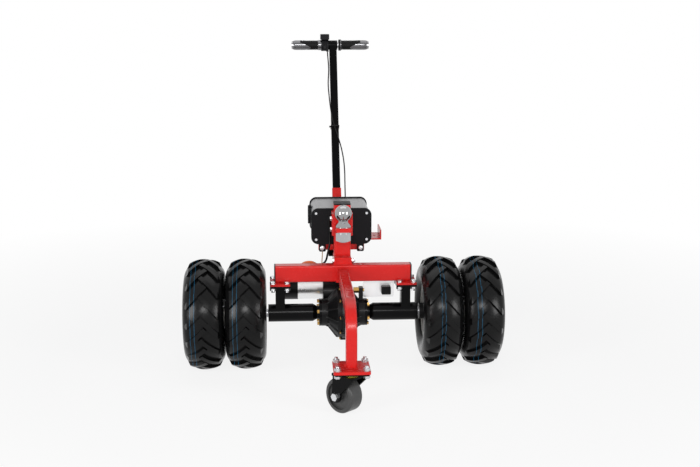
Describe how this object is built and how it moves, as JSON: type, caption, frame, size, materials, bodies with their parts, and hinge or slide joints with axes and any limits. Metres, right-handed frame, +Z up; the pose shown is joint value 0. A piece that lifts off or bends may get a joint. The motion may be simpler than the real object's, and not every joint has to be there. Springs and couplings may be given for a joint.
{
  "type": "electric trailer dolly",
  "caption": "Powered trailer dolly: driven axle with twin ribbed tyres, hitch ball on a post, swivel caster on a bent arm, battery case and a raked T-handle with twist throttle.",
  "frame": {"origin": "on the floor, under the middle of the drive axle", "axes": "+Y from the caster back to the handle, +X to the right of someone facing the caster, +Z up"},
  "size_m": [0.9422, 1.1243, 0.973],
  "materials": {
    "red_paint": "red powder coat",
    "rim_silver": "silver painted pressed steel",
    "black_paint": "gloss black powder coat",
    "black_cast": "black painted casting",
    "black_tube": "black powder-coated square tube",
    "black_plastic": "black moulded plastic",
    "orange_lead": "orange cable sheath",
    "tan_wire": "tan wire sheath",
    "zinc_bolts": "bright zinc plating",
    "yellow_zinc": "yellow zinc plating",
    "zinc_plate": "zinc-plated sheet with a black block",
    "brushed_case": "brushed extrusion",
    "motor_silver": "turned aluminium",
    "rotor": "wound rotor",
    "chrome": "polished chrome plate",
    "nut_steel": "plated hexagon",
    "cast_hub": "black painted casting",
    "steel": "ground steel",
    "tyre": "black ribbed rubber",
    "grip_rubber": "black rubber",
    "caster_iron": "dark grey casting",
    "cell_wrap": "shrink-wrapped cells",
    "controller_case": "black finned case"
  },
  "bodies": {
    "chassis": {"axle_bearings": "steel", "axle_saddles": "black_paint", "axle_tubes": "black_paint", "ball_mount": "red_paint", "ball_nut": "nut_steel", "battery_case": "brushed_case", "battery_cells": "cell_wrap", "battery_front_cover": "black_plastic", "battery_gauge": "black_plastic", "battery_rear_cover": "black_plastic", "battery_tray": "red_paint", "case_fasteners": "zinc_bolts", "caster_arm": "red_paint", "caster_top_plate": "yellow_zinc", "charge_port": "black_plastic", "cross_beam": "red_paint", "earth_wire": "tan_wire", "frame_bolts": "zinc_bolts", "gear_housing_left": "black_cast", "gear_housing_right": "black_cast", "handle_stem": "black_tube", "handlebar": "chrome", "harness_cable": "black_plastic", "hitch_ball": "chrome", "hitch_post": "red_paint", "housing_bolts": "yellow_zinc", "lead_plate": "zinc_plate", "motor_case": "motor_silver", "motor_controller": "controller_case", "motor_end_cap": "black_plastic", "motor_lead": "orange_lead", "plain_grip": "grip_rubber", "rear_spine": "black_paint", "side_bracket": "red_paint", "stem_socket": "red_paint", "throttle_cable": "black_plastic", "throttle_housing": "black_plastic", "tube_end_caps": "black_plastic"},
    "diff_carrier": {"ring_gear": "steel", "diff_case": "steel"},
    "upper_spider": {"upper_spider_gear": "steel"},
    "lower_spider": {"lower_spider_gear": "steel"},
    "left_drive": {"left_half_shaft": "steel", "left_hub": "cast_hub", "left_rims": "rim_silver", "left_tyres": "tyre", "left_wheel_studs": "zinc_bolts"},
    "right_drive": {"right_half_shaft": "steel", "right_hub": "cast_hub", "right_rims": "rim_silver", "right_tyres": "tyre", "right_wheel_studs": "zinc_bolts"},
    "cluster": {"cluster_gear": "steel"},
    "rotor": {"motor_rotor": "rotor"},
    "caster_swivel_fork": {"caster_fork": "black_paint", "caster_axle_bolt": "zinc_bolts"},
    "caster_roller": {"caster_wheel": "caster_iron"},
    "throttle_grip": {"twist_grip": "grip_rubber"},
    "direction_rocker": {"direction_switch": "black_plastic"},
    "port_cap": {"charge_port_cap": "black_plastic"}
  },
  "joints": [
    {"name": "carrier_spin", "type": "hinge", "parent": "chassis", "child": "diff_carrier", "pos_m": [0, 0, 0.165], "axis": [1, 0, 0], "continuous": true},
    {"name": "left_spin", "type": "hinge", "parent": "diff_carrier", "child": "left_drive", "pos_m": [0, 0, 0.165], "axis": [1, 0, 0], "continuous": true},
    {"name": "right_spin", "type": "hinge", "parent": "diff_carrier", "child": "right_drive", "pos_m": [0, 0, 0.165], "axis": [1, 0, 0], "continuous": true},
    {"name": "upper_spider_spin", "type": "hinge", "parent": "diff_carrier", "child": "upper_spider", "pos_m": [0, 0, 0.165], "axis": [0, 0, 1], "continuous": true},
    {"name": "lower_spider_spin", "type": "hinge", "parent": "diff_carrier", "child": "lower_spider", "pos_m": [0, 0, 0.165], "axis": [0, 0, 1], "continuous": true},
    {"name": "cluster_spin", "type": "hinge", "parent": "chassis", "child": "cluster", "pos_m": [0, 0.06472, 0.21202], "axis": [1, 0, 0], "continuous": true},
    {"name": "rotor_spin", "type": "hinge", "parent": "chassis", "child": "rotor", "pos_m": [0, 0.09506, 0.23406], "axis": [1, 0, 0], "continuous": true},
    {"name": "caster_swivel", "type": "hinge", "parent": "chassis", "child": "caster_swivel_fork", "pos_m": [0, -0.424, 0], "axis": [0, 0, 1], "continuous": true},
    {"name": "caster_roll", "type": "hinge", "parent": "caster_swivel_fork", "child": "caster_roller", "pos_m": [-0.01841, -0.40425, 0.0485], "axis": [0.7314, 0.682, 0], "continuous": true},
    {"name": "throttle_twist", "type": "hinge", "parent": "chassis", "child": "throttle_grip", "pos_m": [0, 0.63126, 0.936], "axis": [-1, 0, 0], "range_deg": [0, 60], "stiffness_Nm_per_rad": 0.15},
    {"name": "direction_rock", "type": "hinge", "parent": "chassis", "child": "direction_rocker", "pos_m": [-0.0275, 0.61425, 0.934], "axis": [1, 0, 0], "range_deg": [-12, 12]},
    {"name": "charge_cap_hinge", "type": "hinge", "parent": "chassis", "child": "port_cap", "pos_m": [-0.0923, 0.195, 0.457], "axis": [0, 1, 0], "range_deg": [0, 110]}
  ],
  "couplings": [
    {"joint": "right_spin", "follows": "left_spin", "ratio": -1},
    {"joint": "upper_spider_spin", "follows": "left_spin", "ratio": 1.3333},
    {"joint": "lower_spider_spin", "follows": "left_spin", "ratio": -1.3333},
    {"joint": "cluster_spin", "follows": "carrier_spin", "ratio": -4},
    {"joint": "rotor_spin", "follows": "carrier_spin", "ratio": 16}
  ]
}
